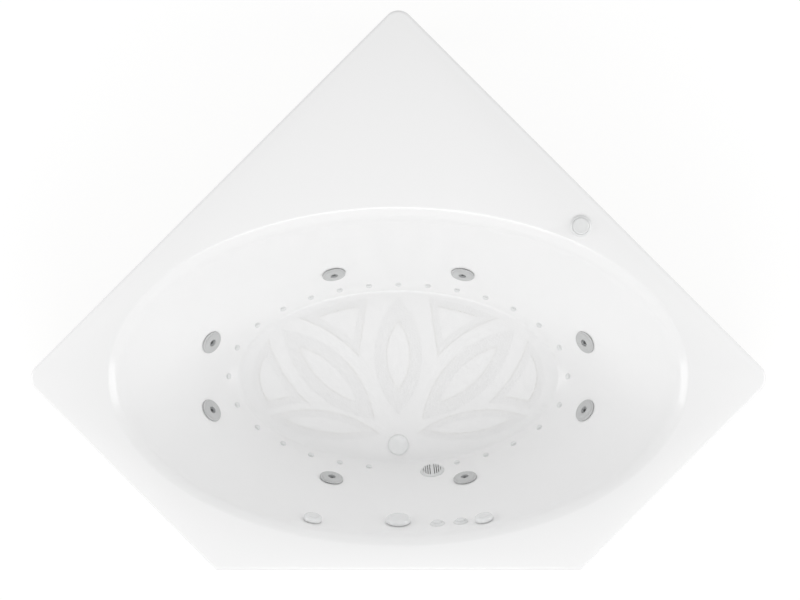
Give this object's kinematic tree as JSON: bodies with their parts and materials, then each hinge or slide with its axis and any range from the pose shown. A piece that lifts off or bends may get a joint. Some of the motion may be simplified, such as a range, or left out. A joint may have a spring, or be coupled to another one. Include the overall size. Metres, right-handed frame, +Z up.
{
  "type": "corner bathtub",
  "caption": "White acrylic corner bathtub with an oval basin, rolled rim, turning water jets, air injectors, lift waste, pump, blower, base frame and apron panels.",
  "frame": {"origin": "middle of the bounding box on the floor under the bath", "axes": "+Z up, +Y towards the right-angled wall corner, +X to the right seen from the front"},
  "size_m": [2.1178, 1.6115, 0.595],
  "materials": {
    "acrylic_shell": "gloss white cast acrylic over fibreglass",
    "white_plastic": "gloss white moulded plastic",
    "grey_plastic": "grey moulded plastic",
    "fitting_plastic": "white PVC fittings",
    "pipe_plastic": "white PVC hose and pipe",
    "rubber": "black rubber",
    "pump_black": "black moulded plastic",
    "motor_paint": "dark grey paint",
    "frame_steel": "galvanised steel",
    "zinc": "zinc plated",
    "timber": "planed softwood",
    "board": "raw chipboard",
    "mount_plastic": "dark grey plastic",
    "apron_acrylic": "gloss white acrylic panel"
  },
  "bodies": {
    "bath": {"air_injectors": "white_plastic", "drain_flange": "white_plastic", "drain_body": "fitting_plastic", "waste_tee": "fitting_plastic", "waste_tailpiece": "pipe_plastic", "overflow_flange": "white_plastic", "overflow_body": "fitting_plastic", "lift_cable": "frame_steel", "suction_cover": "grey_plastic", "suction_body": "fitting_plastic", "suction_hose": "pipe_plastic", "dial_bodies": "white_plastic", "pump_volute": "pump_black", "pump_motor": "motor_paint", "feed_tee": "fitting_plastic", "blower_housing": "pump_black", "base_board": "board", "apron_screws": "zinc", "cable_gland": "pump_black", "jet_bodies": "fitting_plastic", "bath_shell": "acrylic_shell", "locknuts": "fitting_plastic", "gaskets": "rubber", "waste_pipes": "pipe_plastic", "levelling_feet": "zinc", "frame_rails": "frame_steel", "air_hoses": "pipe_plastic", "water_hoses": "pipe_plastic", "air_ring_hose": "pipe_plastic", "timber_frame": "timber", "apron_sides": "apron_acrylic", "control_box": "mount_plastic", "button_housings": "white_plastic", "machine_mounts": "mount_plastic"},
    "jet_ring_1": {"jet_ring_1": "white_plastic"},
    "jet_nozzle_1": {"jet_nozzle_1": "grey_plastic"},
    "jet_ring_2": {"jet_ring_2": "white_plastic"},
    "jet_nozzle_2": {"jet_nozzle_2": "grey_plastic"},
    "jet_ring_3": {"jet_ring_3": "white_plastic"},
    "jet_nozzle_3": {"jet_nozzle_3": "grey_plastic"},
    "jet_ring_4": {"jet_ring_4": "white_plastic"},
    "jet_nozzle_4": {"jet_nozzle_4": "grey_plastic"},
    "jet_ring_5": {"jet_ring_5": "white_plastic"},
    "jet_nozzle_5": {"jet_nozzle_5": "grey_plastic"},
    "jet_ring_6": {"jet_ring_6": "white_plastic"},
    "jet_nozzle_6": {"jet_nozzle_6": "grey_plastic"},
    "jet_ring_7": {"jet_ring_7": "white_plastic"},
    "jet_nozzle_7": {"jet_nozzle_7": "grey_plastic"},
    "jet_ring_8": {"jet_ring_8": "white_plastic"},
    "jet_nozzle_8": {"jet_nozzle_8": "grey_plastic"},
    "air_dial_left": {"air_dial_left": "white_plastic"},
    "air_dial_right": {"air_dial_right": "white_plastic"},
    "push_button_near": {"push_button_near": "white_plastic"},
    "push_button_far": {"push_button_far": "white_plastic"},
    "deck_button": {"deck_button": "white_plastic"},
    "overflow_knob": {"overflow_knob": "white_plastic"},
    "drain_stopper": {"drain_stopper": "white_plastic"},
    "pump_impeller": {"pump_impeller": "pump_black"},
    "blower_fan": {"blower_fan": "pump_black"},
    "apron_front": {"apron_front": "apron_acrylic"}
  },
  "joints": [
    {"name": "jet_ring_1_turn", "type": "hinge", "parent": "bath", "child": "jet_ring_1", "pos_m": [0.187, 0.04777, 0.22], "axis": [-0.1657, -0.8712, 0.4621], "range_deg": [0, 90]},
    {"name": "jet_nozzle_1_tilt", "type": "hinge", "parent": "jet_ring_1", "child": "jet_nozzle_1", "pos_m": [0.18717, 0.04864, 0.21954], "axis": [0.9824, -0.1868, 0], "range_deg": [-15, 15]},
    {"name": "jet_ring_2_turn", "type": "hinge", "parent": "bath", "child": "jet_ring_2", "pos_m": [0.5429, -0.15, 0.22], "axis": [-0.6799, -0.4135, 0.6056], "range_deg": [0, 90]},
    {"name": "jet_nozzle_2_tilt", "type": "hinge", "parent": "jet_ring_2", "child": "jet_nozzle_2", "pos_m": [0.54358, -0.14959, 0.21939], "axis": [0.5197, -0.8544, 0], "range_deg": [-15, 15]},
    {"name": "jet_ring_3_turn", "type": "hinge", "parent": "bath", "child": "jet_ring_3", "pos_m": [0.5429, -0.35, 0.22], "axis": [-0.6799, 0.4135, 0.6056], "range_deg": [0, 90]},
    {"name": "jet_nozzle_3_tilt", "type": "hinge", "parent": "jet_ring_3", "child": "jet_nozzle_3", "pos_m": [0.54358, -0.35041, 0.21939], "axis": [-0.5197, -0.8544, 0], "range_deg": [-15, 15]},
    {"name": "jet_ring_4_turn", "type": "hinge", "parent": "bath", "child": "jet_ring_4", "pos_m": [0.194, -0.54641, 0.22], "axis": [-0.1723, 0.8695, 0.463], "range_deg": [0, 90]},
    {"name": "jet_nozzle_4_tilt", "type": "hinge", "parent": "jet_ring_4", "child": "jet_nozzle_4", "pos_m": [0.19417, -0.54728, 0.21954], "axis": [-0.9809, -0.1944, 0], "range_deg": [-15, 15]},
    {"name": "jet_ring_5_turn", "type": "hinge", "parent": "bath", "child": "jet_ring_5", "pos_m": [-0.194, -0.54641, 0.22], "axis": [0.1723, 0.8695, 0.463], "range_deg": [0, 90]},
    {"name": "jet_nozzle_5_tilt", "type": "hinge", "parent": "jet_ring_5", "child": "jet_nozzle_5", "pos_m": [-0.19417, -0.54728, 0.21954], "axis": [-0.9809, 0.1944, 0], "range_deg": [-15, 15]},
    {"name": "jet_ring_6_turn", "type": "hinge", "parent": "bath", "child": "jet_ring_6", "pos_m": [-0.5429, -0.35, 0.22], "axis": [0.6799, 0.4135, 0.6056], "range_deg": [0, 90]},
    {"name": "jet_nozzle_6_tilt", "type": "hinge", "parent": "jet_ring_6", "child": "jet_nozzle_6", "pos_m": [-0.54358, -0.35041, 0.21939], "axis": [-0.5197, 0.8544, 0], "range_deg": [-15, 15]},
    {"name": "jet_ring_7_turn", "type": "hinge", "parent": "bath", "child": "jet_ring_7", "pos_m": [-0.5429, -0.15, 0.22], "axis": [0.6799, -0.4135, 0.6056], "range_deg": [0, 90]},
    {"name": "jet_nozzle_7_tilt", "type": "hinge", "parent": "jet_ring_7", "child": "jet_nozzle_7", "pos_m": [-0.54358, -0.14959, 0.21939], "axis": [0.5197, 0.8544, 0], "range_deg": [-15, 15]},
    {"name": "jet_ring_8_turn", "type": "hinge", "parent": "bath", "child": "jet_ring_8", "pos_m": [-0.187, 0.04777, 0.22], "axis": [0.1657, -0.8712, 0.4621], "range_deg": [0, 90]},
    {"name": "jet_nozzle_8_tilt", "type": "hinge", "parent": "jet_ring_8", "child": "jet_nozzle_8", "pos_m": [-0.18717, 0.04864, 0.21954], "axis": [0.9824, 0.1868, 0], "range_deg": [-15, 15]},
    {"name": "air_dial_left_turn", "type": "hinge", "parent": "bath", "child": "air_dial_left", "pos_m": [-0.248, -0.66379, 0.503], "axis": [0.1744, 0.9128, 0.3694], "range_deg": [0, 180]},
    {"name": "air_dial_right_turn", "type": "hinge", "parent": "bath", "child": "air_dial_right", "pos_m": [0.248, -0.66379, 0.503], "axis": [-0.1744, 0.9128, 0.3694], "range_deg": [0, 180]},
    {"name": "push_button_near_press", "type": "slide", "parent": "bath", "child": "push_button_near", "axis": [0.0786, -0.9273, -0.3659], "range_m": [0, 0.003], "stiffness_N_per_m": 400, "springref_m": -0.002},
    {"name": "push_button_far_press", "type": "slide", "parent": "bath", "child": "push_button_far", "axis": [0.1265, -0.9212, -0.368], "range_m": [0, 0.003], "stiffness_N_per_m": 400, "springref_m": -0.002},
    {"name": "deck_button_press", "type": "slide", "parent": "bath", "child": "deck_button", "axis": [0, 0, -1], "range_m": [0, 0.004], "stiffness_N_per_m": 400, "springref_m": -0.002},
    {"name": "overflow_knob_turn", "type": "hinge", "parent": "bath", "child": "overflow_knob", "pos_m": [0, -0.67043, 0.461], "axis": [0, 0.9298, 0.3679], "range_deg": [0, 90]},
    {"name": "drain_stopper_lift", "type": "slide", "parent": "bath", "child": "drain_stopper", "axis": [0, 0, 1], "range_m": [0, 0.0121]},
    {"name": "pump_impeller_spin", "type": "hinge", "parent": "bath", "child": "pump_impeller", "pos_m": [-0.74, -0.25, 0.1263], "axis": [0, -1, 0], "continuous": true},
    {"name": "blower_fan_spin", "type": "hinge", "parent": "bath", "child": "blower_fan", "pos_m": [0.77, -0.25, 0.11593], "axis": [0, 0, 1], "continuous": true},
    {"name": "apron_front_pull", "type": "slide", "parent": "bath", "child": "apron_front", "axis": [0, -1, 0], "range_m": [0, 0.3]}
  ],
  "couplings": [
    {"joint": "drain_stopper_lift", "follows": "overflow_knob_turn", "m_per_rad": 0.0076394}
  ]
}
